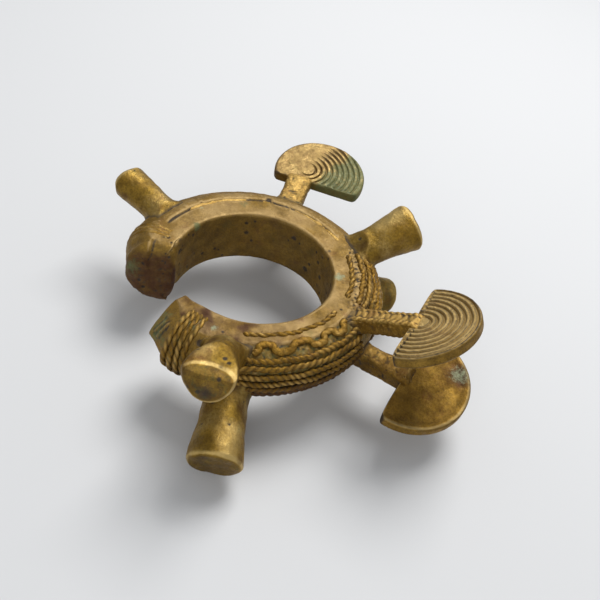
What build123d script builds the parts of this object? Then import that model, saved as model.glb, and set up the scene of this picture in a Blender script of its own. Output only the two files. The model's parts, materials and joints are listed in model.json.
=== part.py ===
from build123d import *
import os
from math import cos, degrees, radians, sin

# Cast brass bracelet: an open hoop with round pegs and fan-ended arms on its outside.
# It is one lost-wax casting. Each solid here is one of the wax pieces it was built up from.
#
# Millimetres. The origin is the middle of the wrist bore, +Z runs along the bore and the
# gap between the terminals faces -Y. Azimuths are degrees about +Z, counted from +X.

# Hoop
wrist_bore_radius = 30.0
hoop_height = 23.0
flat_band_width = 9.5
bore_rim_chamfer = 1.0
casting_shift = 1.5
bore_stock = 2.0

# Terminals, on each side of the gap
right_end_azimuth = -71.0
left_end_azimuth = 247.0
right_terminal_turn = 13.0
left_terminal_turn = 15.0
terminal_taper = 3.5
left_face_lean = 14.0
nose_facet_lean = 38.0
nose_ridge_width = 2.0

# Pegs: how far each reaches past the hoop's outer radius, and the radii along it
arm_root_inset = 14.0
upper_arm_depth = 6.6
lower_arm_depth = 6.3
peg_rim_radius = 1.4
peg_waist_place = 0.45
peg_waist_share = 0.8
peg_root_share = 0.88

front_right_azimuth = -30.0
front_right_upper_turn = -2.0
front_right_lower_turn = 3.0
front_right_upper_elevation = 30.5
front_right_upper_reach = 25.0
front_right_upper_tip = 8.8
front_right_lower_elevation = -16.0
front_right_lower_reach = 24.0
front_right_lower_tip = 10.0

back_azimuth = 92.0
back_upper_turn = 2.0
back_lower_turn = -2.0
back_upper_elevation = 20.5
back_upper_reach = 20.0
back_upper_tip = 9.7
back_lower_elevation = -24.0
back_lower_reach = 14.5
back_lower_tip = 7.6

front_left_azimuth = 211.0
front_left_upper_elevation = 11.5
front_left_upper_reach = 18.5
front_left_upper_tip = 7.2

# Fan-ended arms: a stem, and a blade let onto its end
stem_width = 9.0
wide_stem_width = 11.5
stem_thickness = 6.6
lower_stem_thickness = 8.4
stem_edge_radius = 1.6
tenon_length = 4.0
blade_thickness = 4.4
blade_corner_radius = 1.2
blade_edge_radius = 0.8

back_right_azimuth = 41.5
back_right_upper_elevation = 25.8
back_right_lower_elevation = -3.2
back_right_stem_reach = 16.0
back_right_upper_blade_radius = 21.4
back_right_lower_blade_radius = 22.4
back_right_chord_offset = 3.0
back_right_lower_roll = 9.0

back_left_azimuth = 143.0
back_left_upper_elevation = 8.5
back_left_lower_elevation = -24.0
back_left_stem_reach = 11.5
back_left_upper_blade_radius = 19.7
back_left_chord_offset = 7.5
back_left_upper_blade_shift = -7.0

# Grooves and dish in the blades
groove_first_radius = 3.4
groove_pitch = 2.35
groove_width = 1.3
blade_rim_width = 1.7
dish_depth = 0.9

# Threads laid on the outside of the hoop
border_thread_diameter = 2.4
row_thread_diameter = 2.3
row_first_angle = 47.0
row_step_angle = 14.8
front_right_row_count = 7
back_right_row_count = 8
back_right_rows_above = 2
far_row_count = 4
far_rows_missing = 2
thread_proud_share = 0.55
wrap_thread_diameter = 1.8
right_wrap_first_azimuth = -55.5
right_wrap_count = 4
left_wrap_first_azimuth = 226.0
left_wrap_count = 3
wrap_pitch_turn = 3.1
wrap_inner_radius = 35.0
border_angle = 98.0
thread_end_reach = 4.45
scroll_start_turn = 11.0
scroll_bend_radius = 2.6
scroll_thread_diameter = 2.4
scroll_count = 7
scroll_angle = 73.0
scroll_bend_turn = 168.0

half_height = hoop_height / 2
face_centre_radius = wrist_bore_radius + flat_band_width
hoop_outer_radius = face_centre_radius + half_height
arm_root_radius = hoop_outer_radius - arm_root_inset
right_joint = right_end_azimuth + right_terminal_turn
left_joint = left_end_azimuth - left_terminal_turn
upper_arm_root_height = half_height - upper_arm_depth
lower_arm_root_height = lower_arm_depth - half_height
thread_end_turn = degrees(thread_end_reach / hoop_outer_radius)
cutter_size = 8 * hoop_height
casting_axis = Axis((-casting_shift, 0, 0), (0, 0, 1))


def radial(azimuth):
    """Unit vector pointing away from the Z axis at an azimuth."""
    return Vector(cos(radians(azimuth)), sin(radians(azimuth)), 0)


def hoop_section_plane(azimuth):
    """Upright plane through the casting's axis: x points outwards and y points up."""
    along = radial(azimuth)
    return Plane(origin=casting_axis.position, x_dir=along, z_dir=along.cross(Vector(0, 0, 1)))


def turned(section, first_azimuth, last_azimuth):
    """A section, drawn outwards and up, turned about the casting's axis between two azimuths."""
    placed = hoop_section_plane(first_azimuth) * section
    return revolve(placed, casting_axis, last_azimuth - first_azimuth)


def hoop_section(centre_radius):
    """The hoop's section: flat above and below, and round outside."""
    inner = wrist_bore_radius - 2 * casting_shift - bore_stock
    flats = Rectangle(centre_radius - inner, hoop_height, align=(Align.MIN, Align.CENTER))
    return Pos(inner, 0) * flats + Pos(centre_radius, 0) * Circle(half_height)


def wrist_bore():
    """The wrist's space, with a chamfered rim at each face."""
    bore = Cylinder(wrist_bore_radius, 2 * hoop_height)
    rim = Cone(
        wrist_bore_radius,
        wrist_bore_radius + 2 * bore_rim_chamfer,
        2 * bore_rim_chamfer,
    )
    top_rim = Pos(0, 0, half_height) * rim
    bottom_rim = Rot(180, 0, 0) * top_rim
    return bore + top_rim + bottom_rim


def hoop_core(first_azimuth, last_azimuth):
    """The hoop between its terminals, with the wrist bore cut."""
    return turned(hoop_section(face_centre_radius), first_azimuth, last_azimuth) - wrist_bore()


def terminal_blank(joint_azimuth, end_azimuth):
    """A terminal before its end is shaped: it narrows from the hoop's section to its end."""
    joint = hoop_section_plane(joint_azimuth) * hoop_section(face_centre_radius)
    end = hoop_section_plane(end_azimuth) * hoop_section(face_centre_radius - terminal_taper)
    return loft([joint, end])


def right_terminal():
    """The right terminal: two flats meet in a blunt ridge on its outside."""
    body = terminal_blank(right_joint, right_end_azimuth) - wrist_bore()
    facet = Box(cutter_size, cutter_size, cutter_size, align=(Align.CENTER, Align.CENTER, Align.MIN))
    ridge = hoop_section_plane(right_end_azimuth).location * Pos(hoop_outer_radius - terminal_taper, 0, 0)
    for side in (1, -1):
        start = Pos(0, side * nose_ridge_width / 2, 0)
        body -= ridge * start * Rot(0, 0, -side * nose_facet_lean) * Rot(-side * 90, 0, 0) * facet
    return body


def left_terminal():
    """The left terminal, with a flat end face that leans back at its top."""
    lean_turn = left_face_lean / 2
    body = terminal_blank(left_joint, left_end_azimuth + lean_turn)
    beyond = Box(cutter_size, cutter_size, cutter_size, align=(Align.CENTER, Align.CENTER, Align.MAX))
    end = hoop_section_plane(left_end_azimuth)
    return body - end.location * Rot(-left_face_lean, 0, 0) * beyond - wrist_bore()


def arm_location(azimuth, elevation, root_height, roll=0.0):
    """Where an arm starts inside the hoop: its x runs out along the arm, and z is its upper side."""
    root = Plane(
        origin=radial(azimuth) * arm_root_radius + Vector(0, 0, root_height),
        x_dir=radial(azimuth),
        z_dir=(0, 0, 1),
    )
    return root.location * Rot(0, -elevation, 0) * Rot(roll, 0, 0)


def peg(azimuth, elevation, root_height, reach, tip_radius):
    """A round peg that narrows past its root and flares to its tip."""
    length = arm_root_inset + reach
    side = ThreePointArc(
        (tip_radius * peg_root_share, 0),
        (tip_radius * peg_waist_share, length * peg_waist_place),
        (tip_radius, length),
    )
    outline = side + Polyline((tip_radius, length), (0, length), (0, 0), (tip_radius * peg_root_share, 0))
    body = revolve(Plane.XZ * make_face(outline), Axis.Z)
    tip_edge = body.edges().filter_by(GeomType.CIRCLE).sort_by(Axis.Z)[-1]
    body = fillet(tip_edge, peg_rim_radius)
    return arm_location(azimuth, elevation, root_height) * Rot(0, 90, 0) * body


def stem(arm, reach, width, thickness):
    """The bar that carries a blade. Its top is level on every stem, and its end passes the blade's chord."""
    length = arm_root_inset + reach + tenon_length
    bar = Box(length, width, thickness, align=(Align.MIN, Align.CENTER, Align.MAX))
    return arm * Pos(0, 0, stem_thickness / 2) * fillet(bar.edges().filter_by(Axis.X), stem_edge_radius)


def blade_blank(radius, chord_offset, shift):
    """A fan blade, more than half a disc, with its straight edge on x = 0."""
    half = Rectangle(2 * radius, 4 * radius, align=(Align.MIN, Align.CENTER))
    outline = half & Pos(chord_offset, shift) * Circle(radius)
    outline = fillet(outline.vertices(), blade_corner_radius)
    plate = extrude(outline, blade_thickness / 2, both=True)
    rims = plate.faces().sort_by(Axis.Z)
    return fillet(rims[0].edges() + rims[-1].edges(), blade_edge_radius)


def grooved_blade(radius, chord_offset, shift=0.0):
    """A fan blade with concentric grooves in its upper face."""
    plate = blade_blank(radius, chord_offset, shift)
    centre = Pos(chord_offset, shift, blade_thickness / 2)
    groove_radius = groove_first_radius
    while groove_radius < radius - blade_rim_width:
        plate -= centre * Torus(groove_radius, groove_width / 2)
        groove_radius += groove_pitch
    return plate


def dished_blade(radius, chord_offset):
    """A fan blade with a shallow dish in its upper face, inside a raised rim."""
    centre = Pos(chord_offset, 0, blade_thickness / 2)
    return blade_blank(radius, chord_offset, 0) - centre * Cylinder(radius - blade_rim_width, 2 * dish_depth)


def blade_location(arm, reach):
    """Where a blade's straight edge crosses its arm."""
    return arm * Pos(arm_root_inset + reach, 0, 0)


def face_thread(angle, diameter, first_azimuth, last_azimuth):
    """A thread laid round the outside. The angle is its height up the rounded face."""
    reach = half_height + diameter * (thread_proud_share - 0.5)
    x = face_centre_radius + reach * cos(radians(angle))
    y = reach * sin(radians(angle))
    return turned(Pos(x, y) * Circle(diameter / 2), first_azimuth, last_azimuth)


def wrap_thread(azimuth, diameter, inner_radius):
    """A thread wrapped over the hoop, from the upper flat round the outside to the lower flat."""
    reach = half_height + diameter * (thread_proud_share - 0.5)
    over = Line((inner_radius, reach), (face_centre_radius, reach))
    round_face = ThreePointArc(
        (face_centre_radius, reach),
        (face_centre_radius + reach, 0),
        (face_centre_radius, -reach),
    )
    under = Line((face_centre_radius, -reach), (inner_radius, -reach))
    path = hoop_section_plane(azimuth) * Wire([over, round_face, under])
    start = Plane(origin=path @ 0, z_dir=path % 0)
    return sweep(start * Circle(diameter / 2), path)


def scroll_relief(first_azimuth):
    """A winding thread on the upper slope: bends that open up and down in turn, each a solid."""
    reach = half_height + scroll_thread_diameter * (thread_proud_share - 0.5)
    path_radius = face_centre_radius + reach * cos(radians(scroll_angle))
    step = degrees(2 * scroll_bend_radius / path_radius)
    relief = None
    for index in range(scroll_count):
        azimuth = first_azimuth + step * (index + 0.5)
        seat = hoop_section_plane(azimuth).location * Pos(path_radius, reach * sin(radians(scroll_angle)), 0)
        facing = seat * Rot(0, 0, scroll_angle - 90) * Rot(-90, 0, 0)
        bend = Pos(scroll_bend_radius, 0) * Circle(scroll_thread_diameter / 2)
        part_ring = revolve(Plane.XZ * bend, Axis.Z, scroll_bend_turn)
        middle_turn = (90 if index % 2 else -90) + (180 - scroll_bend_turn) / 2
        placed = facing * Rot(0, 0, middle_turn) * part_ring
        relief = placed if relief is None else relief + placed
    return relief


nodes = {}
blanks = {}


def add(name, shape, seats):
    """Seat a piece on others that are already placed: what it shares with them is cut from it."""
    blanks[name] = shape
    for seat in seats:
        shape = shape - nodes[seat]
    nodes[name] = shape


# The hoop and its terminals
hoop = ["hoop_core"]
nodes["hoop_core"] = hoop_core(right_joint, left_joint)
nodes["right_terminal"] = right_terminal()
nodes["left_terminal"] = left_terminal()

# The pegs
add("front_right_peg_upper", peg(
    front_right_azimuth + front_right_upper_turn, front_right_upper_elevation, upper_arm_root_height,
    front_right_upper_reach, front_right_upper_tip), hoop)
add("front_right_peg_lower", peg(
    front_right_azimuth + front_right_lower_turn, front_right_lower_elevation, lower_arm_root_height,
    front_right_lower_reach, front_right_lower_tip), hoop + ["front_right_peg_upper"])
add("back_peg_upper", peg(
    back_azimuth + back_upper_turn, back_upper_elevation, upper_arm_root_height,
    back_upper_reach, back_upper_tip), hoop)
add("back_peg_lower", peg(
    back_azimuth + back_lower_turn, back_lower_elevation, lower_arm_root_height,
    back_lower_reach, back_lower_tip), hoop + ["back_peg_upper"])
add("front_left_peg_upper", peg(
    front_left_azimuth, front_left_upper_elevation, upper_arm_root_height,
    front_left_upper_reach, front_left_upper_tip), hoop)

# The fan-ended arms
fans = {
    "back_right_fan_upper": (
        arm_location(back_right_azimuth, back_right_upper_elevation, upper_arm_root_height),
        back_right_stem_reach, stem_width, stem_thickness,
        grooved_blade(back_right_upper_blade_radius, back_right_chord_offset)),
    "back_right_fan_lower": (
        arm_location(back_right_azimuth, back_right_lower_elevation, lower_arm_root_height,
                     back_right_lower_roll),
        back_right_stem_reach, stem_width, lower_stem_thickness,
        dished_blade(back_right_lower_blade_radius, back_right_chord_offset)),
    "back_left_fan_upper": (
        arm_location(back_left_azimuth, back_left_upper_elevation, upper_arm_root_height),
        back_left_stem_reach, wide_stem_width, stem_thickness,
        grooved_blade(back_left_upper_blade_radius, back_left_chord_offset, back_left_upper_blade_shift)),
    "back_left_fan_lower": (
        arm_location(back_left_azimuth, back_left_lower_elevation, lower_arm_root_height),
        back_left_stem_reach, stem_width, lower_stem_thickness,
        dished_blade(back_right_lower_blade_radius, back_right_chord_offset)),
}
for name, (arm, reach, width, thickness, blade) in fans.items():
    upper = name.replace("lower", "upper")
    below = [upper + "_stem"] if name != upper else []
    add(name + "_stem", stem(arm, reach, width, thickness), hoop + below)
    add(name + "_blade", blade_location(arm, reach) * blade, [name + "_stem"])

# The threads round the outside, between one arm and the next
front_right_arms = ["front_right_peg_upper", "front_right_peg_lower"]
back_right_arms = ["back_right_fan_upper_stem", "back_right_fan_lower_stem"]
back_arms = ["back_peg_upper", "back_peg_lower"]
back_left_arms = ["back_left_fan_upper_stem", "back_left_fan_lower_stem"]
front_left_arms = ["front_left_peg_upper"]
spans = {
    "front_right": (front_right_azimuth, back_right_azimuth, front_right_arms + back_right_arms),
    "back_right": (back_right_azimuth, back_azimuth, back_right_arms + back_arms),
    "back_left": (back_azimuth, back_left_azimuth, back_arms + back_left_arms),
    "front_left": (back_left_azimuth, front_left_azimuth, back_left_arms + front_left_arms),
}
rows = {
    "front_right": (0, front_right_row_count),
    "back_right": (-back_right_rows_above, back_right_row_count),
    "back_left": (far_rows_missing, far_row_count),
    "front_left": (far_rows_missing, far_row_count),
}
for span, (first, last, arms) in spans.items():
    start = first + thread_end_turn
    stop = last - thread_end_turn
    for side, angle in (("upper", border_angle), ("lower", -border_angle)):
        border = face_thread(angle, border_thread_diameter, start, stop)
        for arm in arms:
            border -= blanks[arm]
        add(f"{span}_border_{side}", border, hoop)
    first_step, count = rows[span]
    for index in range(count):
        angle = row_first_angle - (first_step + index) * row_step_angle
        row = face_thread(angle, row_thread_diameter, start, stop)
        add(f"{span}_row_{index + 1}", row, hoop + arms)

# The winding relief on the upper slope, and the threads wrapped over the hoop's ends
add("front_right_scroll", scroll_relief(front_right_azimuth + scroll_start_turn),
    hoop + front_right_arms + back_right_arms + ["front_right_border_upper", "front_right_row_1"])
for index in range(right_wrap_count):
    azimuth = right_wrap_first_azimuth + index * wrap_pitch_turn
    add(f"right_wrap_{index + 1}", wrap_thread(azimuth, wrap_thread_diameter, wrap_inner_radius),
        hoop + front_right_arms)
for index in range(left_wrap_count):
    azimuth = left_wrap_first_azimuth + index * wrap_pitch_turn
    add(f"left_wrap_{index + 1}", wrap_thread(azimuth, wrap_thread_diameter, wrap_inner_radius),
        hoop + ["left_terminal", "front_left_peg_upper"])

os.makedirs("parts", exist_ok=True)
for name, shape in nodes.items():
    shape.label = name
    export_step(shape, f"parts/{name}.step")
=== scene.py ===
import json
from math import cos, pi, radians, sin, tau

import bpy
import numpy as np
from mathutils import Matrix, Vector


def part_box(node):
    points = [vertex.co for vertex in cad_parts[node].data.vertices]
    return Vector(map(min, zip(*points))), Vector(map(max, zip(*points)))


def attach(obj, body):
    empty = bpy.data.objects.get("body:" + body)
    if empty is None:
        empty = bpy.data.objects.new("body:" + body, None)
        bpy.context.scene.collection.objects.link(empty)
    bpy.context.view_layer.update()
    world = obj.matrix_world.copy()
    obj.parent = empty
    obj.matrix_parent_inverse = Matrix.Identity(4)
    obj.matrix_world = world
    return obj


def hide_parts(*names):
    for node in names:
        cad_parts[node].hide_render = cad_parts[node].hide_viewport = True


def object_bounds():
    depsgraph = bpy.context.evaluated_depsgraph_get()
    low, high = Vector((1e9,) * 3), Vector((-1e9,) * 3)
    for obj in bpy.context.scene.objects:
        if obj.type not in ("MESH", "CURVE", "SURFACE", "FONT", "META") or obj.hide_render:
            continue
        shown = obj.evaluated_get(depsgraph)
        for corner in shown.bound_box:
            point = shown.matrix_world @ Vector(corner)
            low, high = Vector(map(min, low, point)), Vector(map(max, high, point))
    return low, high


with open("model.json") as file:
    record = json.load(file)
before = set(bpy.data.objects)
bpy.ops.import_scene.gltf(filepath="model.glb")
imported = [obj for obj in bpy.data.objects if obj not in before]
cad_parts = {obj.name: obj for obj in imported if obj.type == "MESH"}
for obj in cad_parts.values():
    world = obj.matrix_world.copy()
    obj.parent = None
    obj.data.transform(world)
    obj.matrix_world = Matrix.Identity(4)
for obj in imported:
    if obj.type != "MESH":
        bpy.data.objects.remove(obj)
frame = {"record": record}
cad_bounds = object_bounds()

# Lengths are in millimetres up to Skin.build, which makes them metres. The frame's origin is the
# middle of the wrist bore, +Z runs along the bore and the gap between the terminals faces -Y.
MM = 0.001
mounts = {mount["name"]: mount for mount in frame["record"]["mounts"]}
BORE_R = mounts["wrist_bore"]["dims"]["r_mm"]
HOOP_LOW, HOOP_HIGH = (np.array(corner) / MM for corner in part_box("hoop_core"))
HALF_H = (HOOP_HIGH[2] - HOOP_LOW[2]) / 2
FACE_R = (HOOP_HIGH[0] - HOOP_LOW[0]) / 2 - HALF_H
SHIFT = (HOOP_HIGH[0] + HOOP_LOW[0]) / 2
OUTER_R = FACE_R + HALF_H

# The terminals: where they end, in degrees, the turn over which they narrow, and by how much
RIGHT_END, LEFT_END = -71.0, 247.0
TAPER_TURN = 18.2
TERMINAL_TAPER = 3.5

# The arms: how deep in the hoop they start, their roots' heights, and their stems and blades
ARM_INSET = 14.0
ROOT_R = OUTER_R - ARM_INSET
UPPER_Z, LOWER_Z = 4.9, -5.2
BACK_RIGHT, BACK_RIGHT_REACH = 41.5, 16.0
BACK_LEFT, BACK_LEFT_REACH = 143.0, 11.5
STEM_WIDTH, WIDE_STEM_WIDTH = 9.0, 11.5
STEM_THICKNESS, LOWER_STEM_THICKNESS = 6.6, 8.4
TENON = 4.0
BLADE_THICKNESS = 4.4
BLADE_EDGE = 1.1
LOWER_BLADE_R, CHORD_OFFSET = 22.4, 3.0
DISH_DEPTH = 0.8
GROOVE_PITCH, GROOVE_DEPTH = 2.35, 0.85

# The threads
BORDER_ANGLE, BORDER_DIAMETER = 98.0, 2.4
ROW_STEP, ROW_DIAMETER = 14.8, 2.3
WRAP_PITCH, WRAP_INNER_R, WRAP_DIAMETER = 3.1, 34.5, 2.1


# Noise ---------------------------------------------------------------------------------------

def lattice(cells, seed):
    """A value from 0 to 1 for each whole-number cell of an (n, 3) array."""
    mixed = cells.astype(np.int64)
    hashed = mixed[:, 0] * 73856093 ^ mixed[:, 1] * 19349663 ^ mixed[:, 2] * 83492791 ^ seed * 2654435
    hashed = (hashed ^ (hashed >> 13)) * 1274126177 & 0x7FFFFFFF
    hashed = (hashed ^ (hashed >> 15)) * 2246822519 & 0x7FFFFFFF
    return (hashed ^ (hashed >> 12)) % 65536 / 65535.0


def noise(points, size, seed=0):
    """Smooth noise from -1 to 1, with lumps of about the given size."""
    scaled = points / size
    cell = np.floor(scaled)
    part = scaled - cell
    part = part * part * (3 - 2 * part)
    total = np.zeros(len(points))
    for corner in range(8):
        offset = np.array([corner & 1, corner >> 1 & 1, corner >> 2 & 1])
        weight = np.prod(np.where(offset, part, 1 - part), axis=1)
        total += weight * lattice(cell + offset, seed)
    return total * 2 - 1


def rough(points, size, layers=3, seed=0):
    """Layered noise, each layer half the size and half the height of the one before."""
    total = np.zeros(len(points))
    for layer in range(layers):
        total += noise(points, size / 2 ** layer, seed + layer) / 2 ** layer
    return total / (2 - 0.5 ** (layers - 1))


def pits(points, size, share, seed=0):
    """Round pits: 1 at a pit's middle and 0 outside. The share is how many cells hold one."""
    cell = np.floor(points / size)
    depth = np.zeros(len(points))
    for step in np.ndindex(3, 3, 3):
        near = cell + np.array(step) - 1
        chance = lattice(near, seed)
        place = np.stack([lattice(near, seed + 1 + axis) for axis in range(3)], axis=1)
        reach = (0.2 + 0.3 * lattice(near, seed + 4)) * size
        gap = np.linalg.norm(points - (near + 0.25 + place * 0.5) * size, axis=1)
        bowl = np.clip(1 - gap / reach, 0, 1)
        depth = np.maximum(depth, np.where(chance < share, bowl * bowl * (3 - 2 * bowl), 0))
    return depth


def ramp(value, low, high):
    """0 below low, 1 above high and a smooth rise between; low may be above high."""
    part = np.clip((value - low) / (high - low), 0, 1)
    return part * part * (3 - 2 * part)


def spot(points, centre, radius):
    """1 at a centre, and a smooth fall to 0 at a radius."""
    return ramp(np.linalg.norm(points - np.array(centre), axis=1), radius, 0)


def azimuth_of(points):
    """Degrees about Z, from -90 (the gap) round to 270."""
    angle = np.degrees(np.arctan2(points[:, 1], points[:, 0]))
    return np.where(angle < -90, angle + 360, angle)


def radial(azimuth):
    return np.array([cos(radians(azimuth)), sin(radians(azimuth)), 0.0])


def at(azimuth, radius, height):
    """A point in mm from its azimuth, its distance from the bore's axis and its height."""
    return radial(azimuth) * radius + np.array([0, 0, height])


# The hoop's basic form -------------------------------------------------------------------------

def hoop_distance(points):
    """Distance from the hoop's surface, in mm; negative inside."""
    moved = points - np.array([SHIFT, 0, 0])
    out = np.hypot(moved[:, 0], moved[:, 1]) - FACE_R
    nose = np.hypot(np.maximum(out, 0), points[:, 2]) - HALF_H
    flat = np.abs(points[:, 2]) - HALF_H
    bore = BORE_R - np.hypot(points[:, 0], points[:, 1])
    return np.maximum(np.where(out > 0, nose, flat), bore)


# Meshes ----------------------------------------------------------------------------------------

class Skin:
    """Rings of points in mm that become a closed mesh, with its wear, crusts, painted light and painted shade
    on it.
    """

    def __init__(self, name, points):
        self.name = name
        self.rows, self.columns = points.shape[:2]
        self.points = points.reshape(-1, 3).astype(float)
        self.paint = {}

    def grid(self, values=None):
        values = self.points if values is None else values
        return values.reshape(self.rows, self.columns, *values.shape[1:])

    def normals(self):
        """Outward normals from the grid's own directions."""
        grid = self.grid()
        along = np.gradient(grid, axis=0)
        around = (np.roll(grid, -1, axis=1) - np.roll(grid, 1, axis=1)) / 2
        normal = np.cross(around, along).reshape(-1, 3)
        length = np.linalg.norm(normal, axis=1, keepdims=True)
        return normal / np.maximum(length, 1e-9)

    def push(self, height):
        """Moves the surface out by a height in mm."""
        self.points = self.points + self.normals() * height[:, None]

    def hollows(self):
        """How far each point lies below the points two steps away, in mm; negative on an edge."""
        grid = self.grid()
        total = np.zeros_like(grid)
        for step in (2, -2):
            total += np.roll(grid, step, axis=1)
            total += grid[np.clip(np.arange(self.rows) + step, 0, self.rows - 1)]
        return np.einsum("ij,ij->i", (total / 4 - grid).reshape(-1, 3), self.normals())

    def build(self, material, slot, *replaces):
        """The mesh object, in metres, riding on the bracelet."""
        count = self.rows * self.columns
        index = np.arange(count).reshape(self.rows, self.columns)
        following = np.roll(index, -1, axis=1)
        quads = np.stack([index[:-1], following[:-1], following[1:], index[1:]], axis=-1)
        faces = quads.reshape(-1, 4).tolist()
        faces += [[count, b, a] for a, b in zip(index[0], following[0])]
        faces += [[count + 1, a, b] for a, b in zip(index[-1], following[-1])]
        ends = [self.grid()[0].mean(axis=0), self.grid()[-1].mean(axis=0)]
        points = np.vstack([self.points, ends])
        mesh = bpy.data.meshes.new(self.name)
        mesh.from_pydata((points * MM).tolist(), [], faces)
        for key, values in self.paint.items():
            layer = mesh.attributes.new(key, "FLOAT", "POINT")
            filled = np.zeros(len(points))
            filled[:count] = np.clip(values, 0, 1)
            filled[count] = self.grid(filled[:count])[0].mean()
            filled[count + 1] = self.grid(filled[:count])[-1].mean()
            layer.data.foreach_set("value", filled)
        mesh.polygons.foreach_set("use_smooth", np.ones(len(mesh.polygons), bool))
        mesh.materials.append(material)
        piece = bpy.data.objects.new(self.name, mesh)
        bpy.context.collection.objects.link(piece)
        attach(piece, "root")
        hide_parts(*(replaces or [self.name]))


# Materials -------------------------------------------------------------------------------------

def srgb(red, green, blue):
    """A colour given as 0 to 255 screen values, in Blender's linear values."""
    values = np.array([red, green, blue]) / 255
    linear = np.where(values > 0.04045, ((values + 0.055) / 1.055) ** 2.4, values / 12.92)
    return (*linear.tolist(), 1.0)


class Nodes:
    """Short ways to add shader nodes to a material."""

    def __init__(self, name):
        self.material = bpy.data.materials.new(name)
        self.material.use_nodes = True
        self.tree = self.material.node_tree
        self.shader = self.tree.nodes["Principled BSDF"]

    def link(self, source, target):
        self.tree.links.new(source, target)

    def fill(self, sockets, values):
        """Gives each input socket a link or a fixed value."""
        for socket, value in zip(sockets, values):
            if isinstance(value, bpy.types.NodeSocket):
                self.link(value, socket)
            else:
                socket.default_value = value

    def painted(self, name):
        node = self.tree.nodes.new("ShaderNodeAttribute")
        node.attribute_name = name
        return node.outputs["Fac"]

    def place(self):
        return self.tree.nodes.new("ShaderNodeTexCoord").outputs["Object"]

    def grain(self, scale, detail=4.0, roughness=0.6):
        node = self.tree.nodes.new("ShaderNodeTexNoise")
        names = ("Vector", "Scale", "Detail", "Roughness")
        self.fill([node.inputs[name] for name in names], (self.place(), scale, detail, roughness))
        return node.outputs["Fac"]

    def ramp(self, value, low, high, reach=1.0):
        node = self.tree.nodes.new("ShaderNodeMapRange")
        node.interpolation_type = "SMOOTHSTEP"
        names = ("Value", "From Min", "From Max", "To Max")
        self.fill([node.inputs[name] for name in names], (value, low, high, reach))
        return node.outputs["Result"]

    def math(self, operation, first, second):
        node = self.tree.nodes.new("ShaderNodeMath")
        node.operation = operation
        self.fill(node.inputs, (first, second))
        return node.outputs[0]

    def mix(self, share, first, second):
        node = self.tree.nodes.new("ShaderNodeMix")
        node.data_type = "RGBA"
        colour_sockets = (node.inputs[0], node.inputs[6], node.inputs[7])
        self.fill(colour_sockets, (share, first, second))
        return node.outputs[2]

    def broken(self, value, grain, weight, low, high, reach=1.0):
        """A value from the mesh's paint, with its edge broken up by a grain."""
        return self.ramp(self.math("ADD", value, self.math("MULTIPLY", grain, weight)), low, high, reach)


def aged_brass(name, gold, dark, worn, bump=0.45, metal=0.85, rough_low=0.42, rough_high=0.7):
    """Old cast brass. Each mesh is painted with wear and painted light (bright), hollow (dark: pits, cracks,
    grime and painted shade) and three crusts.
    """
    n = Nodes(name)
    fine = n.grain(900, 5.0, 0.7)
    mottled = n.ramp(n.grain(170, 6.0, 0.65), 0.36, 0.66, 0.75)
    cloudy = n.ramp(n.grain(60, 3.0), 0.35, 0.7, 0.35)
    grit = n.ramp(n.grain(1300, 4.0, 0.75), 0.46, 0.62, 0.40)
    specks = n.ramp(n.grain(520, 4.0, 0.75), 0.60, 0.72, 0.45)
    ruddy = n.ramp(n.grain(115, 7.0, 0.7), 0.54, 0.72, 0.55)
    mossy = n.ramp(n.grain(88, 7.0, 0.72), 0.58, 0.74, 0.40)
    # The bright mask: rubbed metal, and painted light on faces that look up
    rubbed_and_lit = n.broken(n.painted("wear_and_light"), fine, 0.45, 0.35, 0.95)
    brown = n.broken(n.painted("brown"), n.grain(330, 5.0), 0.5, 0.42, 0.95)
    # The dark mask: pits, cracks and grime, with painted shade in hollows, under threads and where the arms
    # meet the hoop
    hollow = n.broken(n.painted("hollow"), fine, 0.2, 0.12, 0.85)
    green = n.broken(n.painted("green"), n.grain(520, 7.0, 0.75), 1.5, 1.0, 1.55, 0.8)
    pale = n.broken(n.painted("pale"), n.grain(700, 7.0, 0.75), 1.5, 1.1, 1.6, 0.75)

    colour = n.mix(mottled, gold, dark)
    colour = n.mix(cloudy, colour, srgb(150, 112, 30))
    colour = n.mix(grit, colour, srgb(70, 50, 20))
    # The worn colour paints both rubbed metal and painted light
    colour = n.mix(rubbed_and_lit, colour, worn)
    colour = n.mix(specks, colour, srgb(62, 40, 18))
    colour = n.mix(ruddy, colour, srgb(104, 66, 34))
    colour = n.mix(mossy, colour, srgb(92, 92, 44))
    colour = n.mix(brown, colour, srgb(74, 44, 22))
    # Near-black brown for grime and painted shade
    colour = n.mix(n.math("MULTIPLY", hollow, 0.9), colour, srgb(34, 22, 10))
    colour = n.mix(green, colour, srgb(92, 100, 58))
    colour = n.mix(pale, colour, srgb(150, 156, 122))
    n.link(colour, n.shader.inputs["Base Color"])

    # The dark mask, painted shade included, also makes the metal duller and rougher, as a crust does
    crust = n.math("MAXIMUM", n.math("MAXIMUM", green, pale), hollow)
    n.link(n.math("SUBTRACT", metal, n.math("MULTIPLY", crust, 0.7)), n.shader.inputs["Metallic"])
    gloss = n.ramp(n.grain(260, 5.0), 0.3, 0.7, rough_high - rough_low)
    roughness = n.math("ADD", gloss, rough_low)
    n.link(n.math("ADD", roughness, n.math("MULTIPLY", crust, 0.2)), n.shader.inputs["Roughness"])

    coarse = n.math("MULTIPLY", n.grain(420, 6.0, 0.7), 0.6)
    relief = n.tree.nodes.new("ShaderNodeBump")
    relief.inputs["Strength"].default_value = bump
    relief.inputs["Distance"].default_value = 0.0012
    n.link(n.math("ADD", coarse, n.math("MULTIPLY", fine, 0.4)), relief.inputs["Height"])
    n.link(relief.outputs["Normal"], n.shader.inputs["Normal"])
    return n.material


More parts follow.
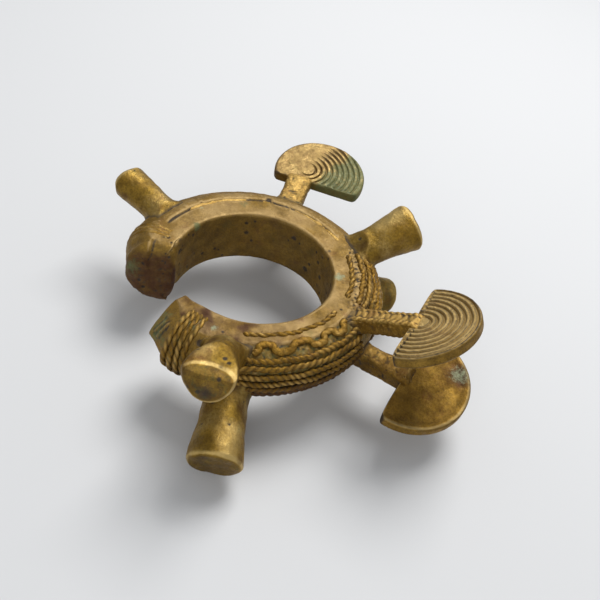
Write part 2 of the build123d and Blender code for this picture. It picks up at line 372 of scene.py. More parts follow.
hoop_brass = aged_brass("hoop_brass", srgb(136, 106, 40), srgb(92, 68, 20), srgb(158, 130, 80),
                        metal=0.62, rough_low=0.48, rough_high=0.74)
peg_brass = aged_brass("peg_brass", srgb(142, 112, 40), srgb(94, 70, 20), srgb(188, 160, 98),
                       rough_low=0.38, rough_high=0.64)
thread_brass = aged_brass("thread_brass", srgb(140, 106, 38), srgb(98, 70, 22), srgb(182, 148, 82),
                          bump=0.5)
blade_brass = aged_brass("blade_brass", srgb(146, 114, 46), srgb(104, 78, 26), srgb(178, 150, 94))


def painted(skin, wear_and_light=0.0, hollow=0.0, green=0.0, pale=0.0, brown=0.0):
    """Stores the five painted values of a piece; each may be a number or one value per point."""
    values = {"wear_and_light": wear_and_light, "hollow": hollow, "green": green, "pale": pale, "brown": brown}
    for key, value in values.items():
        skin.paint[key] = np.broadcast_to(value, len(skin.points)).astype(float)


# The hoop --------------------------------------------------------------------------------------

RIM = 1.5
RING_STEP = 0.55
COLUMNS = {"wall": 50, "rim": 6, "flat": 20, "face": 92}
RIGHT_START, LEFT_STOP = RIGHT_END + 1.5, LEFT_END - 2.5
LEFT_LEAN = 0.26


def hoop_outline(centre_r, half_h, sharpness):
    """One section of the hoop as radius and height. A sharpness over 0 makes the face a blunt ridge."""
    wall_z = np.linspace(-half_h + RIM, half_h - RIM, COLUMNS["wall"], endpoint=False)
    turn = np.linspace(0, pi / 2, COLUMNS["rim"], endpoint=False)
    flat = np.linspace(BORE_R + RIM, centre_r, COLUMNS["flat"], endpoint=False)
    face = np.linspace(pi / 2, -pi / 2, COLUMNS["face"], endpoint=False)
    power = 1 - 0.42 * sharpness
    face_r = centre_r + half_h * np.abs(np.cos(face)) ** (1 / power)
    face_z = half_h * np.sign(np.sin(face)) * np.abs(np.sin(face)) ** (1 / power)
    radius = np.concatenate([
        np.full(COLUMNS["wall"], BORE_R), BORE_R + RIM - RIM * np.cos(turn), flat, face_r,
        flat[::-1], BORE_R + RIM - RIM * np.cos(turn[::-1]),
    ])
    height = np.concatenate([
        wall_z, half_h - RIM + RIM * np.sin(turn), np.full(len(flat), half_h), face_z,
        np.full(len(flat), -half_h), -half_h + RIM - RIM * np.sin(turn[::-1]),
    ])
    return radius, height


def hoop_ring(azimuth, scale=1.0, forward=0.0, lean=0.0):
    """A ring of the hoop's points. An end cap shrinks it and moves it forward along the hoop."""
    near_right = ramp(azimuth, RIGHT_END + TAPER_TURN, RIGHT_END)
    near_left = ramp(azimuth, LEFT_END - TAPER_TURN, LEFT_END)
    centre_r = FACE_R + SHIFT * cos(radians(azimuth)) - TERMINAL_TAPER * (near_right + near_left)
    half_h = HALF_H - 0.6 * near_left - 0.3 * near_right
    radius, height = hoop_outline(centre_r, half_h, near_right)
    middle = (BORE_R + centre_r + half_h) / 2
    radius += (3.5 * near_left + 1.5 * near_right) * (height / half_h) ** 4 * (radius < BORE_R + RIM)
    radius = middle + (radius - middle) * scale
    height = height * scale
    along = np.array([-sin(radians(azimuth)), cos(radians(azimuth)), 0])
    ring = radial(azimuth) * radius[:, None]
    ring[:, 2] = height
    return ring + along * (forward - lean * height[:, None])


def hoop_points():
    """All the hoop's rings, with a rounded cap on each end."""
    rings = []
    cap = np.linspace(0.02, 1, 44) ** 0.8
    right_cap = [(sin(part * pi / 2) ** 0.55, -2.2 * cos(part * pi / 2)) for part in cap]
    left_cap = [(sin(part * pi / 2) ** 0.4, 2.4 * cos(part * pi / 2)) for part in cap]
    for scale, forward in right_cap[:-1]:
        rings.append(hoop_ring(RIGHT_START, scale, forward))
    azimuths = np.arange(RIGHT_START, LEFT_STOP, RING_STEP)
    for azimuth in azimuths:
        lean = LEFT_LEAN * ramp(azimuth, LEFT_END - 12, LEFT_STOP)
        rings.append(hoop_ring(azimuth, lean=lean))
    for scale, forward in left_cap[-2::-1]:
        rings.append(hoop_ring(azimuths[-1], scale, forward + 0.1, LEFT_LEAN))
    return np.array(rings)


def make_hoop():
    skin = Skin("hoop", hoop_points())
    start = skin.points
    azimuth = azimuth_of(start)
    radius = np.hypot(start[:, 0], start[:, 1])
    height = start[:, 2]
    face = np.degrees(np.arctan2(height, np.maximum(radius - FACE_R, 0.01)))
    inner = ramp(radius, BORE_R + 1.2, BORE_R + 0.3)
    top = ramp(height, HALF_H - 0.8, HALF_H - 0.3) * (1 - inner)
    outside = ramp(radius, FACE_R - 1, FACE_R + 1)

    # Hand-made unevenness, and the rough ground between the threads
    push = 0.35 * noise(start, 14, 1) * (1 - 0.8 * inner) + 0.10 * rough(start, 4, 3, 2)
    dressed = ramp(azimuth, -26, -20) * ramp(azimuth, 92, 86) * outside
    ground = dressed * ramp(face, 88, 80) * ramp(azimuth, 46, 40)
    push += ground * (-0.45 + 0.30 * rough(start, 1.6, 3, 3))
    coarse = ramp(azimuth, 40, 47) * ramp(azimuth, 96, 88) * ramp(radius, 37.5, 39.5)
    push += coarse * (0.55 * rough(start, 1.9, 3, 4) - 0.25 * pits(start, 1.4, 0.5, 5))
    push += outside * (1 - dressed) * 0.16 * rough(start, 2.4, 3, 6)

    # The crack along the worn side, and the outer strip standing a little higher
    crack_r = 37.9 + 0.5 * noise(start, 9, 7) + SHIFT * np.cos(np.radians(azimuth))
    worn_side = ramp(azimuth, 100, 108) * ramp(azimuth, 224, 214) * ramp(height, 8, 9.5)
    crack = worn_side * np.clip(1 - np.abs(radius - crack_r) / 0.45, 0, 1)
    crack *= ramp(noise(start, 6, 8), -0.55, -0.1)
    push -= 0.75 * crack
    push += worn_side * ramp(radius, crack_r, crack_r + 1.2) * ramp(radius, 46, 41) * 0.35

    # Pits and casting flaws
    sparse = pits(start, 4.2, 0.10, 11) + 0.7 * pits(start, 2.2, 0.05, 15)
    push -= 0.38 * sparse * (1 - ground)
    push -= 0.25 * inner * pits(start, 3.0, 0.14, 19)

    # The left terminal's corroded end, and the two ribs on the right terminal
    end_left = ramp(azimuth, LEFT_END - 5.5, LEFT_END - 1.5)
    end_pits = pits(start, 2.4, 0.35, 27)
    push += end_left * (0.7 + 0.65 * rough(start, 3.4, 4, 23) - 0.5 * end_pits)
    rim_lumps = ramp(azimuth, LEFT_END - 14, LEFT_END - 4) * outside
    push += (0.4 + 0.8 * noise(start, 5, 31)) * rim_lumps
    for rib in (RIGHT_END + 4.8, RIGHT_END + 7.8):
        ridge = np.exp(-((azimuth - rib - 0.05 * (face - 45)) / 0.75) ** 2)
        push += 0.7 * ridge * ramp(face, 14, 22) * ramp(face, 72, 60) * outside
    skin.push(push)

    # Verdigris, pale crust, brown patches and rubbed metal
    hollow = skin.hollows()
    points = skin.points
    green = 0.95 * spot(points, at(209.5, BORE_R + 0.6, HALF_H - 1.2), 3.6)
    green += 0.55 * spot(points, at(-52, 40, HALF_H), 9) + 0.5 * spot(points, at(-58, 47, 4), 9)
    green += 0.45 * spot(points, at(67, BORE_R + 1, HALF_H - 1), 4)
    green += ground * 0.42 + 0.5 * spot(points, at(168, 36.5, HALF_H), 5)
    pale = 0.85 * spot(points, at(67.5, BORE_R + 2.2, HALF_H), 4.6)
    pale += 0.7 * spot(points, at(-41, 38, HALF_H), 3.2) + 0.5 * spot(points, at(196, 37.6, HALF_H), 3)
    pale += 0.35 * spot(points, at(232, 36, HALF_H), 7)
    pale += 1.0 * spot(points, at(LEFT_END, 41, -3), 2.4)
    green += 0.5 * ramp(azimuth, -61, -66) * outside
    left_crust = ramp(azimuth, LEFT_END - 4, LEFT_END - 1) * spot(points, at(LEFT_END, 47, 2), 9)
    green += 0.65 * left_crust
    brown = 0.55 * end_left + 0.45 * dressed * ramp(face, 15, -30)
    brown += 0.3 * spot(points, at(178, 37, HALF_H), 5)
    brown += 0.35 * inner * ramp(noise(points, 9, 35), 0.1, 0.7)
    brown += 0.28 * top * ramp(noise(points, 5, 39), 0.1, 0.7)
    brown += 0.35 * top * ramp(azimuth, 25, -10)
    wear_and_light = top * (0.45 + 0.35 * noise(points, 7, 37)) + 0.55 * ramp(-hollow, 0.02, 0.09)
    wear_and_light *= 1 - 0.55 * end_left
    wear_and_light -= 0.25 * inner
    # Dark: hollows (grime and painted shade), the crack, the pits and the bore's wall
    dark = 8.8 * np.clip(hollow, 0, 1) + crack + 0.75 * sparse * (1 - ground) + 0.15 * inner
    dark += 0.7 * end_left * ramp(end_pits, 0.2, 0.8)
    painted(skin, wear_and_light, dark, green, pale, brown)
    skin.build(hoop_brass, "hoop", "hoop_core", "right_terminal", "left_terminal")


# Pegs ------------------------------------------------------------------------------------------

def arm_axes(azimuth, elevation, root_height, roll=0.0):
    """An arm's root in mm, and its directions: out along it, to its side and to its upper side."""
    tilt = radians(elevation)
    out = radial(azimuth) * cos(tilt) + np.array([0, 0, sin(tilt)])
    side = np.array([-sin(radians(azimuth)), cos(radians(azimuth)), 0])
    upper = np.cross(out, side)
    side, upper = (
        side * cos(radians(roll)) + upper * sin(radians(roll)),
        upper * cos(radians(roll)) - side * sin(radians(roll)),
    )
    return at(azimuth, ROOT_R, root_height), out, side, upper


def seat(points, centre, reach, height):
    """Spreads an arm's root where it meets the hoop, away from the arm's own axis."""
    gap = hoop_distance(points)
    share = np.clip(1 - gap / reach, 0, 1.6)
    away = points - centre
    length = np.maximum(np.linalg.norm(away, axis=1, keepdims=True), 1e-6)
    return points + away / length * (height * share * share)[:, None]


def sink_root(points, along, side):
    """Keeps an arm's root under the hoop's flat until the arm has cleared it."""
    limit = HALF_H - 0.5 + 14 * ramp(along, 5, 21) ** 1.4
    height = points[:, 2] * side
    over = np.maximum(height - limit + 0.6, 0)
    lowered = points.copy()
    lowered[:, 2] = side * (height - over * over / (over + 0.6))
    return lowered


def make_peg(name, azimuth, elevation, root_height, reach, tip, seed, waist=0.80, squareness=0.0):
    """A round peg that narrows past its root and flares to a rounded, worn rim."""
    root, out, side, upper = arm_axes(azimuth, elevation, root_height)
    length = ARM_INSET + reach
    rim = 1.9
    shaft = np.linspace(0, length - rim, int(length / 0.5))
    part = shaft / length
    flare = (1 - waist) * ramp(part, 0.42, 1.02) ** 1.2
    radii = tip * (waist + flare + 0.08 * (1 - ramp(part, 0.0, 0.5)))
    corner = np.linspace(0, pi / 2, 8)[1:]
    shaft = np.concatenate([shaft, length - rim + rim * np.sin(corner)])
    radii = np.concatenate([radii, radii[-1] - rim + rim * np.cos(corner)])
    face = np.linspace(1, 0.02, 16)[1:]
    shaft = np.concatenate([shaft, length + 0.15 * (1 - face) - 0.25 * (1 - face ** 2)])
    radii = np.concatenate([radii, radii[-1] * face])
    turn = np.linspace(0, tau, 84, endpoint=False)
    round_off = 1 + squareness * np.cos(4 * turn) * 0.5 + 0.015 * np.cos(3 * turn + seed)
    wide = radii[:, None] * round_off
    axis = root + shaft[:, None] * out
    points = axis[:, None, :] + wide[..., None] * (
        np.cos(turn)[:, None] * side + np.sin(turn)[:, None] * upper
    )
    skin = Skin(name, points)
    centre = np.repeat(axis, len(turn), axis=0)
    skin.points = seat(skin.points, centre, 2.6, 1.0)
    reached = np.repeat(shaft, len(turn))
    skin.points = sink_root(skin.points, reached, np.sign(root_height))
    start = skin.points
    along = reached / length
    flaws = pits(start, 2.6, 0.08, seed + 2)
    push = 0.42 * noise(start, 8, seed) + 0.22 * noise(start, 3.5, seed + 6)
    push += 0.10 * rough(start, 1.8, 3, seed + 1) - 0.30 * flaws
    end = ramp(along, 0.985, 1.0)
    rim_band = np.exp(-((along - 0.975) / 0.02) ** 2)
    skin.push(push - 0.15 * rim_band * np.clip(noise(start, 3, seed + 5), 0, 1))
    hollow = skin.hollows()
    wear_and_light = 0.08 + 0.30 * noise(start, 6, seed + 3) + 0.55 * rim_band - 0.45 * end
    # Painted light: faces that look up are lighter, as if lit from above
    wear_and_light += 0.25 * np.clip(skin.normals()[:, 2], 0, 1)
    # Darker in hollows (grime and painted shade), in flaws and on the end face
    dark = 4 * np.clip(hollow, 0, 1) + 0.6 * flaws + 0.22 * end
    # Painted shade where the peg meets the hoop
    dark += 0.55 * ramp(hoop_distance(start), 1.2, 0.0)
    brown = 0.42 * ramp(noise(start, 5, seed + 4), 0.0, 0.7) * (1 - end) + 0.30 * end
    paint = {"wear_and_light": wear_and_light, "hollow": dark, "brown": brown}
    return skin, paint, end, root + out * length


def make_pegs():
    skin, paint, end, tip = make_peg(
        "front_right_peg_upper", -32, 30.5, UPPER_Z, 25.0, 8.8, 41, squareness=0.04)
    paint["hollow"] += 1.4 * end * spot(skin.points, tip + np.array([0.0, 0.0, -6.0]), 4.6)
    painted(skin, **paint, green=0.30 * end)
    skin.build(peg_brass, "pegs")

    skin, paint, end, tip = make_peg("front_right_peg_lower", -27, -16.0, LOWER_Z, 24.0, 10.0, 47)
    painted(skin, **paint, green=0.30 * end + 0.3 * ramp(noise(skin.points, 6, 48), 0.2, 0.8))
    skin.build(peg_brass, "pegs")

    skin, paint, end, tip = make_peg(
        "back_peg_upper", 94, 20.5, UPPER_Z, 20.0, 9.7, 53, waist=0.76)
    painted(skin, **paint)
    skin.build(peg_brass, "pegs")

    skin, paint, end, tip = make_peg("back_peg_lower", 90, -24.0, LOWER_Z, 14.5, 7.6, 59, waist=0.9)
    painted(skin, **paint, green=0.35)
    skin.build(peg_brass, "pegs")

    skin, paint, end, tip = make_peg(
        "front_left_peg_upper", 211, 11.5, UPPER_Z, 18.5, 7.2, 61, waist=0.86)
    crust = spot(skin.points, at(209, 49, 10), 5)
    paint["hollow"] += 0.8 * crust
    painted(skin, **paint, green=0.5 * crust, pale=0.45 * crust)
    skin.build(peg_brass, "pegs")


# Fan-ended arms --------------------------------------------------------------------------------

def make_stem(name, axes, reach, width, thickness, seed, braided=False):
    """A flat bar from the hoop to its blade, with corded or rough faces."""
    root, out, side, upper = axes
    length = ARM_INSET + reach + TENON
    steps = np.linspace(0, 1, int(length / 0.33))
    turn = np.linspace(0, tau, 96, endpoint=False)
    squareness = 0.42
    across = np.sign(np.cos(turn)) * np.abs(np.cos(turn)) ** squareness
    rise = np.sign(np.sin(turn)) * np.abs(np.sin(turn)) ** squareness
    swell = 1 - 0.10 * np.sin(steps * pi)
    half_w = width / 2 * swell
    drop = (thickness - STEM_THICKNESS) / 2
    taper = 1 - 0.55 * ramp(steps, 0.90, 1.0)
    axis = root + steps[:, None] * length * out
    x = half_w[:, None] * across
    z = thickness / 2 * rise * taper[:, None] - drop
    points = axis[:, None, :] + x[..., None] * side + z[..., None] * upper
    skin = Skin(name, points)
    centre = np.repeat(axis, len(turn), axis=0)
    skin.points = seat(skin.points, centre, 2.0, 0.7)
    reached = np.repeat(steps * length, len(turn))
    skin.points = sink_root(skin.points, reached, np.sign(root[2]))
    start = skin.points
    local = start - root
    u, v, w = local @ out, local @ side, local @ upper
    push = 0.22 * noise(start, 6, seed) + 0.15 * rough(start, 1.8, 3, seed + 1)
    if braided:
        strand = width / 3.3
        v = v + 0.35 * noise(start, 3, seed + 7)
        ridge = np.sqrt(np.clip(1 - ((v / strand + 0.5) % 1 * 2 - 1) ** 2, 0, 1))
        lay = 0.5 + 0.5 * np.cos(tau * (u / 2.3 + np.abs(v) / strand * 0.8))
        cords = ramp(np.abs(w), thickness * 0.22, thickness * 0.42)
        strands = 0.6 * ridge * (0.6 + 0.4 * lay) + 0.22 * rough(start, 1.1, 2, seed + 8)
        push += cords * (strands - 0.35)
        push += (1 - cords) * 0.3 * rough(start, 1.5, 2, seed + 4)
    else:
        push += 0.38 * rough(start, 1.5, 3, seed + 2) - 0.35 * pits(start, 1.8, 0.35, seed + 3)
    skin.push(push)
    hollow = skin.hollows()
    # Darker in hollows (grime and painted shade), and painted shade where the stem meets the hoop
    dark = 3.6 * np.clip(hollow, 0, 1) + 0.5 * ramp(hoop_distance(start), 1.4, 0.0)
    # Painted light: faces that look up are lighter; rubbed edges lighter too
    wear_and_light = 0.45 * np.clip(skin.normals()[:, 2], 0, 1) + 3 * np.clip(-hollow, 0, 0.2)
    return skin, wear_and_light, dark


def blade_limit(turn, radius, offset):
    """Distance from a blade's middle to its outline, in each direction: a disc cut by a chord."""
    backward = np.minimum(np.cos(turn), -1e-6)
    return np.minimum(np.where(np.cos(turn) < -1e-6, -offset / backward, radius), radius)


def make_blade(name, axes, reach, radius, offset, seed, shift=0.0, aside=0.0, dish=0.0):
    """A fan blade: rings spread from its middle to the outline, over the edge and back.

    It is dished if a depth is given, and grooved if not. The grooves may lie aside of the middle.
    """
    root, out, side, upper = axes
    middle = root + out * (ARM_INSET + reach + offset) + side * shift
    turn = np.linspace(-pi, pi, 300, endpoint=False)
    limit = blade_limit(turn, radius, offset)
    spread = np.exp(-(np.arange(-12, 13) / 2.2) ** 2)
    padded = np.concatenate([limit[-12:], limit, limit[:12]])
    limit = np.convolve(padded, spread / spread.sum(), "valid")
    edge = BLADE_EDGE
    shares = np.linspace(0.02, 1, 96)
    corner = np.linspace(0, pi / 2, 7)
    half = BLADE_THICKNESS / 2
    rows = []
    for share in shares:
        rows.append((share * (limit - edge), half))
    for angle in corner[1:]:
        rows.append((limit - edge + edge * sin(angle), half - edge + edge * cos(angle)))
    for level in np.linspace(half - edge, edge - half, 5)[1:]:
        rows.append((limit, level))
    for angle in corner[::-1][1:]:
        rows.append((limit - edge + edge * sin(angle), edge - half - edge * cos(angle)))
    for share in shares[::-3]:
        rows.append((share * (limit - edge), -half))
    points = []
    for far, level in rows:
        flat = (far * np.cos(turn))[:, None] * out + (far * np.sin(turn))[:, None] * side
        points.append(middle + flat + upper * level)
    skin = Skin(name, np.array(points))
    start = skin.points
    local = start - middle
    u, v, w = local @ out, local @ side, local @ upper
    from_middle = np.hypot(u, v)
    top = ramp(w, half - 0.5, half - 0.1)
    bottom = ramp(-w, half - 0.5, half - 0.1)
    outline = np.tile(limit, len(rows))
    inside = ramp(from_middle, outline - 0.6, outline - 1.8)
    lift = 0.22 * noise(start, 7, seed) + 0.10 * rough(start, 2.2, 3, seed + 1)
    lift = lift * (0.4 + 0.6 * (top + bottom))
    height = np.zeros(len(start))
    groove = np.zeros(len(start))
    if dish:
        height -= dish * top * ramp(from_middle, radius - 1.0, radius - 4.5)
    else:
        wobble = 0.35 * noise(start, 9, seed + 2)
        from_groove = np.hypot(u, v - aside)
        wave = np.cos(tau * (from_groove + wobble - 1.2) / GROOVE_PITCH)
        groove = ramp(wave, 0.1, 0.95) * ramp(from_groove, 1.6, 2.6)
        if aside:
            groove *= ramp(v - aside + 0.4 * u, 3.5, -3.5)
        height -= GROOVE_DEPTH * groove * top * inside
        height += 0.12 * rough(start, 1.2, 2, seed + 5) * top
    skin.points = start + upper * (height + lift * (top - bottom))[:, None]
    outward = skin.normals() * ((1 - top) * (1 - bottom) * lift)[:, None]
    skin.points = skin.points + outward
    hollow = skin.hollows()
    # Darker in hollows and grooves: grime and painted shade
    dark = 3.2 * np.clip(hollow, 0, 1) + 0.30 * groove * top * inside
    wear_and_light = 0.55 * top * (1 - groove) + 2.5 * np.clip(-hollow, 0, 0.2) + 0.12
    return skin, wear_and_light, dark, (u, v, top, inside)


def make_fans():
    axes = arm_axes(BACK_RIGHT, 25.8, UPPER_Z)
    skin, wear_and_light, dark = make_stem(
        "back_right_fan_upper_stem", axes, BACK_RIGHT_REACH, STEM_WIDTH, STEM_THICKNESS, 71, braided=True)
    painted(skin, wear_and_light, dark, green=0.12)
    skin.build(thread_brass, "stems")
    skin, wear_and_light, dark, place = make_blade(
        "back_right_fan_upper_blade", axes, BACK_RIGHT_REACH, 21.4, CHORD_OFFSET, 73)
    painted(skin, wear_and_light, dark, green=0.1)
    skin.build(blade_brass, "blades")

    axes = arm_axes(BACK_RIGHT, -3.2, LOWER_Z, 9.0)
    root, out, side, upper = axes
    skin, wear_and_light, dark = make_stem(
        "back_right_fan_lower_stem", axes, BACK_RIGHT_REACH, STEM_WIDTH, LOWER_STEM_THICKNESS, 79)
    painted(skin, wear_and_light * 0.6, dark + 0.1, green=0.2, brown=0.3)
    skin.build(thread_brass, "stems")
    skin, wear_and_light, dark, (u, v, top, inside) = make_blade(
        "back_right_fan_lower_blade", axes, BACK_RIGHT_REACH, LOWER_BLADE_R, CHORD_OFFSET, 83,
        dish=DISH_DEPTH)
    crust = spot(skin.points, root + out * 48 + side * 11 + upper * 2, 9) * top
    painted(skin, wear_and_light * (1 - 0.75 * top * inside), dark + 0.3 * crust, green=0.2 * crust,
            pale=0.7 * crust, brown=0.3 * top * inside + 0.4 * crust)
    skin.build(blade_brass, "blades")

    axes = arm_axes(BACK_LEFT, 8.5, UPPER_Z)
    skin, wear_and_light, dark = make_stem(
        "back_left_fan_upper_stem", axes, BACK_LEFT_REACH, WIDE_STEM_WIDTH, STEM_THICKNESS, 89)
    painted(skin, wear_and_light, dark, green=0.3)
    skin.build(thread_brass, "stems")
    skin, wear_and_light, dark, (u, v, top, inside) = make_blade(
        "back_left_fan_upper_blade", axes, BACK_LEFT_REACH, 19.7, 7.5, 97, shift=-7.0, aside=5.5)
    right = ramp(v + 0.4 * u + 2.5 * noise(skin.points, 5, 98), 3, -5)
    painted(skin, wear_and_light, dark, green=0.72 * right * top + 0.7 * right * (1 - top),
            pale=0.45 * right * top, brown=0.35 * (1 - right))
    skin.build(blade_brass, "blades")

    axes = arm_axes(BACK_LEFT, -24.0, LOWER_Z)
    skin, wear_and_light, dark = make_stem(
        "back_left_fan_lower_stem", axes, BACK_LEFT_REACH, STEM_WIDTH, LOWER_STEM_THICKNESS, 101)
    painted(skin, wear_and_light * 0.6, dark + 0.1, green=0.2, brown=0.2)
    skin.build(thread_brass, "stems")
    skin, wear_and_light, dark, (u, v, top, inside) = make_blade(
        "back_left_fan_lower_blade", axes, BACK_LEFT_REACH, LOWER_BLADE_R, CHORD_OFFSET, 103,
        dish=DISH_DEPTH)
    painted(skin, wear_and_light * (1 - 0.75 * top * inside), dark, green=0.1, brown=0.3 * top * inside)
    skin.build(blade_brass, "blades")


# Threads ---------------------------------------------------------------------------------------

THREAD_COLUMNS = 20


def make_thread(name, path, outward, diameter, seed, pitch, twist=1.0, flatten=0.0, hand=1):
    """A two-strand twisted thread along a path: its section is two-lobed and turns as it goes."""
    count = len(path)
    along = np.gradient(path, axis=0)
    along /= np.linalg.norm(along, axis=1, keepdims=True)
    lifted = outward - (outward * along).sum(axis=1, keepdims=True) * along
    lifted /= np.linalg.norm(lifted, axis=1, keepdims=True)
    across = np.cross(along, lifted)
    travelled = np.concatenate([[0], np.cumsum(np.linalg.norm(np.diff(path, axis=0), axis=1))])
    turn = np.linspace(0, tau, THREAD_COLUMNS, endpoint=False)
    lay = travelled / pitch + 0.12 * np.sin(travelled / 2.7 + seed)
    lobe = np.abs(np.cos(turn[None, :] - hand * pi * lay[:, None])) ** 1.1
    radius = diameter / 2 * (1 - 0.34 * twist + 0.34 * twist * lobe)
    ends = np.minimum(travelled, travelled[-1] - travelled)
    radius = radius * np.sqrt(np.clip(ends / (0.45 * diameter), 0.02, 1))[:, None]
    tall = radius * np.cos(turn) * (1 - flatten)
    wide = radius * np.sin(turn) * (1 + 0.25 * flatten)
    offset = tall[..., None] * lifted[:, None, :] + wide[..., None] * across[:, None, :]
    skin = Skin(name, path[:, None, :] + offset)
    start = skin.points
    skin.push(0.16 * noise(start, 2.8, seed) + 0.07 * noise(start, 0.9, seed + 1))
    sunk = 1 - lobe.reshape(-1)
    high = np.tile(np.cos(turn), count)
    wear_and_light = (0.38 + 0.45 * noise(start, 5, seed + 2)) * np.clip(high, 0, 1) * (1 - 0.8 * sunk * twist)
    # Darker in the furrow between the strands (grime and painted shade), and painted shade on the side that
    # faces the hoop
    dark = 0.40 * sunk * twist + ramp(high, 0.25, -0.4) * 0.55
    return skin, wear_and_light, dark


def on_face(heads, angles, reach):
    """Places on the hoop's outside and their outward directions, from radians round it and up it."""
    radius = FACE_R + reach * np.cos(angles)
    path = np.stack([SHIFT + radius * np.cos(heads), radius * np.sin(heads), reach * np.sin(angles)], axis=1)
    level = np.cos(angles)
    outward = np.stack([level * np.cos(heads), level * np.sin(heads), np.sin(angles)], axis=1)
    return path, outward


def face_path(angle, first, last, lift, bend=0.0, bow=0.0):
    """A path round the hoop's outside. It strays a little, as one laid by hand does."""
    azimuths = np.arange(first, last, 0.42)
    share = (azimuths - first) / (last - first)
    stray = 0.9 * np.sin(azimuths / 3.1 + angle) + 0.6 * np.sin(azimuths / 1.37 + 2 * angle)
    angles = np.radians(angle + bend * share ** 2 + bow * np.sin(share * pi) + stray)
    return on_face(np.radians(azimuths), angles, HALF_H + lift)


def make_face_threads():
    """Each span has its first and last azimuth, its top row's angle, its rows, and their wear."""
    spans = {
        "front_right": (-26.0, 36.5, 47.0, 7, 0.0),
        "back_right": (46.5, 87.0, 76.6, 8, 0.35),
        "back_left": (97.0, 138.0, 17.4, 4, 0.3),
        "front_left": (148.0, 206.0, 17.4, 4, 0.3),
    }
    seed = 200
    for span, (first, last, top_angle, count, worn) in spans.items():
        for side, angle in (("upper", BORDER_ANGLE), ("lower", -BORDER_ANGLE)):
            smooth = 0.85 if span.endswith("left") and side == "upper" else 0.0
            path, outward = face_path(angle, first + 1.5, last - 1.5, -0.12 - 0.6 * smooth)
            skin, wear_and_light, dark = make_thread(
                f"{span}_border_{side}", path, outward, BORDER_DIAMETER, seed, 3.2, 1 - smooth,
                smooth * 0.3)
            painted(skin, wear_and_light + 0.3 * smooth, dark * (1 - 0.6 * smooth), green=0.08)
            skin.build(thread_brass, "threads")
            seed += 3
        for index in range(count):
            angle = top_angle - index * ROW_STEP
            bend = -0.9 * (index - 2) if span == "front_right" else 0
            path, outward = face_path(angle, first, last, 0.075, bend, 1.2 * (index % 2))
            pitch = 2.3 + 0.5 * lattice(np.array([[index, seed, 0]]), 5)[0]
            hand = 1 if (index + seed) % 3 else -1
            skin, wear_and_light, dark = make_thread(
                f"{span}_row_{index + 1}", path, outward, ROW_DIAMETER, seed, pitch, 1 - worn, 0.1,
                hand)
            if span == "back_right":
                skin.push(0.38 * rough(skin.points, 1.3, 2, seed + 1))
            low = ramp(path[:, 2], 6, -8).repeat(THREAD_COLUMNS)
            painted(skin, wear_and_light * (1 - 0.5 * low), dark + 0.12 * low, green=0.1, brown=0.6 * low)
            skin.build(thread_brass, "threads")
            seed += 3


def make_wraps():
    """The threads wrapped over the hoop's ends: flat band, round the outside, flat band."""
    band_steps = 16
    swing = np.linspace(pi / 2, -pi / 2, 110)
    quarter = np.full(band_steps, pi / 2)
    turned = np.concatenate([quarter, swing, -quarter])
    for side, first, count, worn in (("right", -57.0, 4, 0.0), ("left", 226.5, 3, 0.8)):
        taper_start, taper_end = RIGHT_END + TAPER_TURN, RIGHT_END
        if side == "left":
            taper_start, taper_end = LEFT_END - TAPER_TURN, LEFT_END
        reach = HALF_H + 0.1 - 0.75 * worn
        flat = np.full(band_steps, reach)
        height = np.concatenate([flat, reach * np.sin(swing), -flat])
        for index in range(count):
            azimuth = first + index * WRAP_PITCH
            taper = TERMINAL_TAPER * ramp(azimuth, taper_start, taper_end)
            centre_r = FACE_R + SHIFT * cos(radians(azimuth)) - taper
            band = np.linspace(WRAP_INNER_R, centre_r, band_steps, endpoint=False)
            radius = np.concatenate([band, centre_r + reach * np.cos(swing), band[::-1]])
            heads = np.radians(azimuth + 0.45 * np.sin(height / 4 + index))
            path = np.stack([radius * np.cos(heads), radius * np.sin(heads), height], axis=1)
            outward = np.stack(
                [np.cos(turned) * np.cos(heads), np.cos(turned) * np.sin(heads), np.sin(turned)], axis=1)
            skin, wear_and_light, dark = make_thread(
                f"{side}_wrap_{index + 1}", path, outward, WRAP_DIAMETER, 300 + index, 3.4, 1 - worn,
                0.25, -1)
            painted(skin, wear_and_light, dark, green=0.28, pale=0.1)
            skin.build(thread_brass, "threads")


def make_scroll():
    """The winding relief on the slope between the border thread and the first row."""
    part = np.linspace(0, 1, 420)
    phase = tau * 3.4 * part + 0.6 * np.sin(tau * 1.3 * part)
    heads = np.radians(-19.5 + 53 * part + 0.9 * np.sin(2 * phase))
    angles = np.radians(69.5 - 8.5 * np.cos(phase) * (1 - 0.25 * part))
    path, outward = on_face(heads, angles, HALF_H + 0.15)
    skin, wear_and_light, dark = make_thread("front_right_scroll", path, outward, 2.6, 340, 2.4, 0.55, 0.4)
    painted(skin, wear_and_light * 0.6, dark * 0.8, green=0.05, brown=0.1)
    skin.build(thread_brass, "threads")


# Floor, light and camera -----------------------------------------------------------------------

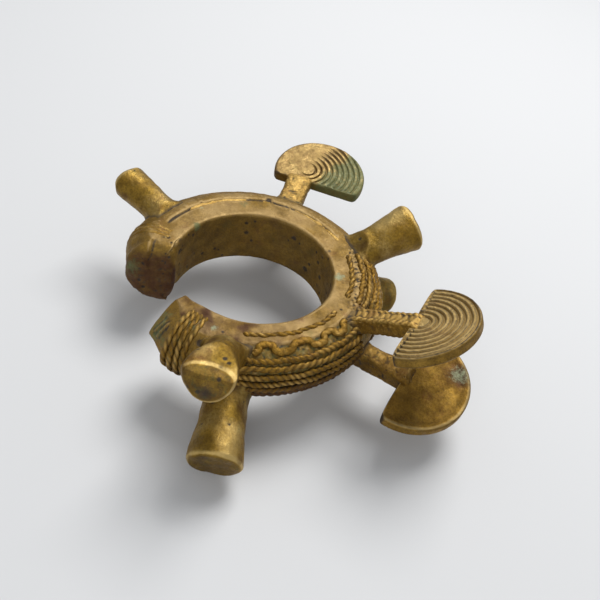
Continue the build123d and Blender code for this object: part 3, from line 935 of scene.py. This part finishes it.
def make_stage():
    """A pale floor at the part's lowest point, an even sky and two soft lamps, all in metres."""
    floor_z = cad_bounds[0][2]
    mesh = bpy.data.meshes.new("floor")
    half = 3.0
    corners = [(-half, -half, floor_z), (half, -half, floor_z), (half, half, floor_z), (-half, half, floor_z)]
    mesh.from_pydata(corners, [], [(0, 1, 2, 3)])
    floor = bpy.data.objects.new("floor", mesh)
    bpy.context.collection.objects.link(floor)
    n = Nodes("floor_grey")
    n.shader.inputs["Base Color"].default_value = (0.62, 0.62, 0.62, 1)
    n.shader.inputs["Roughness"].default_value = 0.9
    mesh.materials.append(n.material)

    world = bpy.data.worlds.new("studio")
    bpy.context.scene.world = world
    world.use_nodes = True
    sky = world.node_tree.nodes["Background"]
    sky.inputs["Color"].default_value = (0.75, 0.78, 0.82, 1)
    sky.inputs["Strength"].default_value = 0.55

    def lamp(name, size, power, place):
        data = bpy.data.lights.new(name, "AREA")
        data.size = size
        data.energy = power
        piece = bpy.data.objects.new(name, data)
        piece.location = place
        piece.rotation_euler = (-Vector(place)).to_track_quat("-Z", "Y").to_euler()
        bpy.context.collection.objects.link(piece)

    lamp("key", 0.5, 8.0, (-0.25, 0.35, 0.80))
    lamp("fill", 0.7, 3.5, (0.85, -0.65, 0.55))


def make_camera():
    """The camera's place comes from its distance, elevation and azimuth about a point by the bore."""
    azimuth, elevation, roll = radians(-30.0), radians(42.9), radians(13.0)
    distance = 10.892 * BORE_R * MM
    right = Vector((-sin(azimuth), cos(azimuth), 0))
    forward = Vector((-cos(azimuth) * cos(elevation), -sin(azimuth) * cos(elevation), -sin(elevation)))
    target = (right * 0.648 + forward.to_2d().to_3d().normalized() * -0.036) * BORE_R * MM
    up = right.cross(forward)
    data = bpy.data.cameras.new("camera")
    data.sensor_width = 36
    data.lens = 51
    data.clip_start = 0.01
    camera = bpy.data.objects.new("camera", data)
    x_axis = right * cos(roll) + up * sin(roll)
    y_axis = up * cos(roll) - right * sin(roll)
    turn = Matrix((x_axis, y_axis, -forward)).transposed().to_4x4()
    camera.matrix_world = Matrix.Translation(target - forward * distance) @ turn
    bpy.context.collection.objects.link(camera)
    bpy.context.scene.camera = camera


make_camera()
make_hoop()
make_pegs()
make_fans()
make_face_threads()
make_wraps()
make_scroll()
make_stage()
bpy.context.scene.view_settings.view_transform = "Standard"
